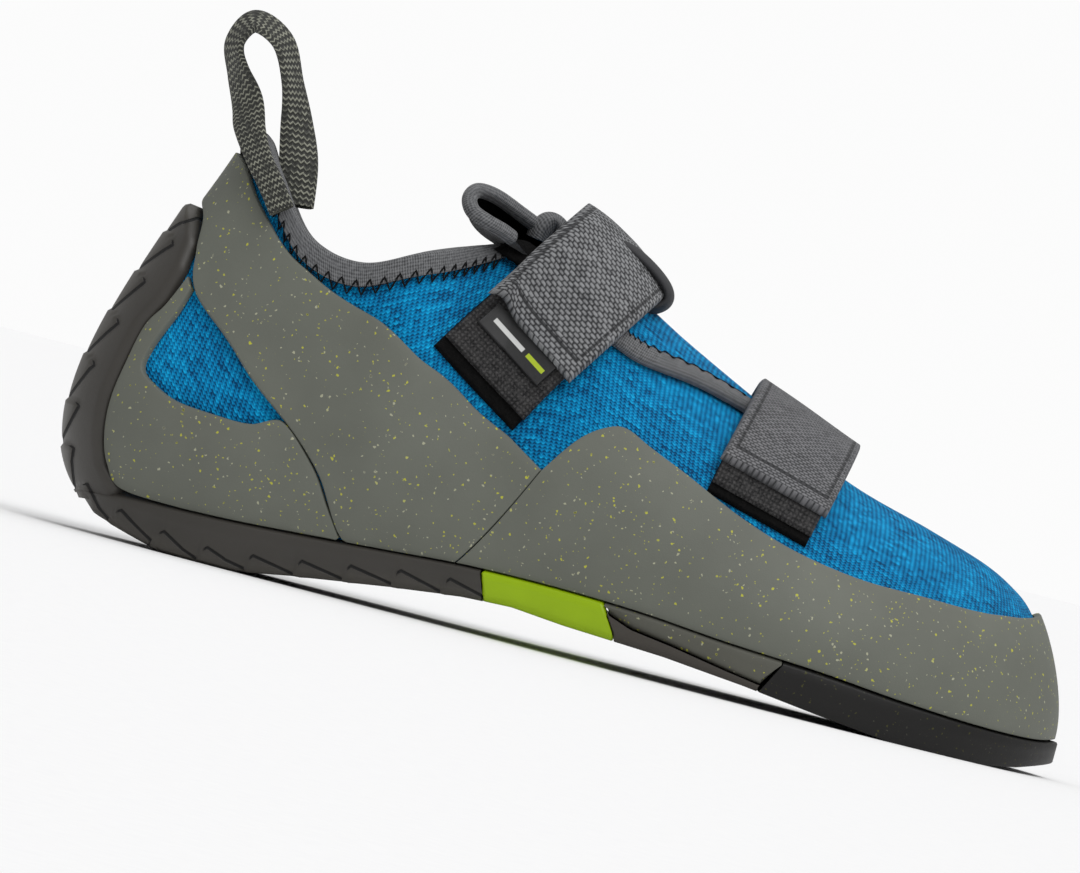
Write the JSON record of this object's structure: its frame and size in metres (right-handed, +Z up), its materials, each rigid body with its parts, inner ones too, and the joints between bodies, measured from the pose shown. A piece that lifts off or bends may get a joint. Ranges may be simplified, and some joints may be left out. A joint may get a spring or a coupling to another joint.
{
  "type": "climbing shoe",
  "caption": "Right-foot rock climbing shoe: knit upper in rubber rands, moulded heel, arch insert and forefoot outsole, hook-and-loop straps, bound collar and a webbing pull loop.",
  "frame": {"origin": "the floor under the middle of the flat spot of the heel, on the shoe's long axis", "axes": "+X towards the toe, +Y towards the inner (medial) side of this right shoe, +Z up"},
  "size_m": [0.2531, 0.0905, 0.1332],
  "materials": {
    "blue_knit": "ribbed stretch knit, bright blue with lighter and darker threads",
    "insole_board": "dark lining fabric",
    "heel_rubber": "dark grey-brown moulded rubber, satin",
    "lime_rubber": "lime green moulded rubber, satin",
    "speckled_rubber": "grey-green matte rubber with small yellow and pale flecks",
    "black_rubber": "black climbing rubber, satin",
    "grey_binding": "grey ribbed elastic binding with black zigzag stitching",
    "loop_pile": "black fuzzy loop pile",
    "hook_tape": "charcoal hook tape",
    "strap_webbing": "mid-grey coarse woven webbing",
    "label_tag": "plain black tag",
    "loop_webbing": "dark grey ribbed webbing with paler threads"
  },
  "bodies": {
    "root": {"upper": "blue_knit", "insole": "insole_board", "heel_unit": "heel_rubber", "arch_insert": "lime_rubber", "arch_layer": "speckled_rubber", "arch_wedge": "heel_rubber", "outsole": "black_rubber", "toe_rand": "speckled_rubber", "heel_rand_lateral": "speckled_rubber", "heel_rand_medial": "speckled_rubber", "slingshot_band": "speckled_rubber", "collar_binding": "grey_binding", "tongue": "grey_binding", "tongue_binding": "grey_binding", "instep_flap": "blue_knit", "flap_binding": "grey_binding", "loop_pad_upper": "loop_pile", "hook_tape_upper": "hook_tape", "strap_upper": "strap_webbing", "loop_pad_lower": "loop_pile", "hook_tape_lower": "hook_tape", "strap_lower": "strap_webbing", "label": "label_tag", "pull_loop": "loop_webbing"}
  },
  "joints": []
}
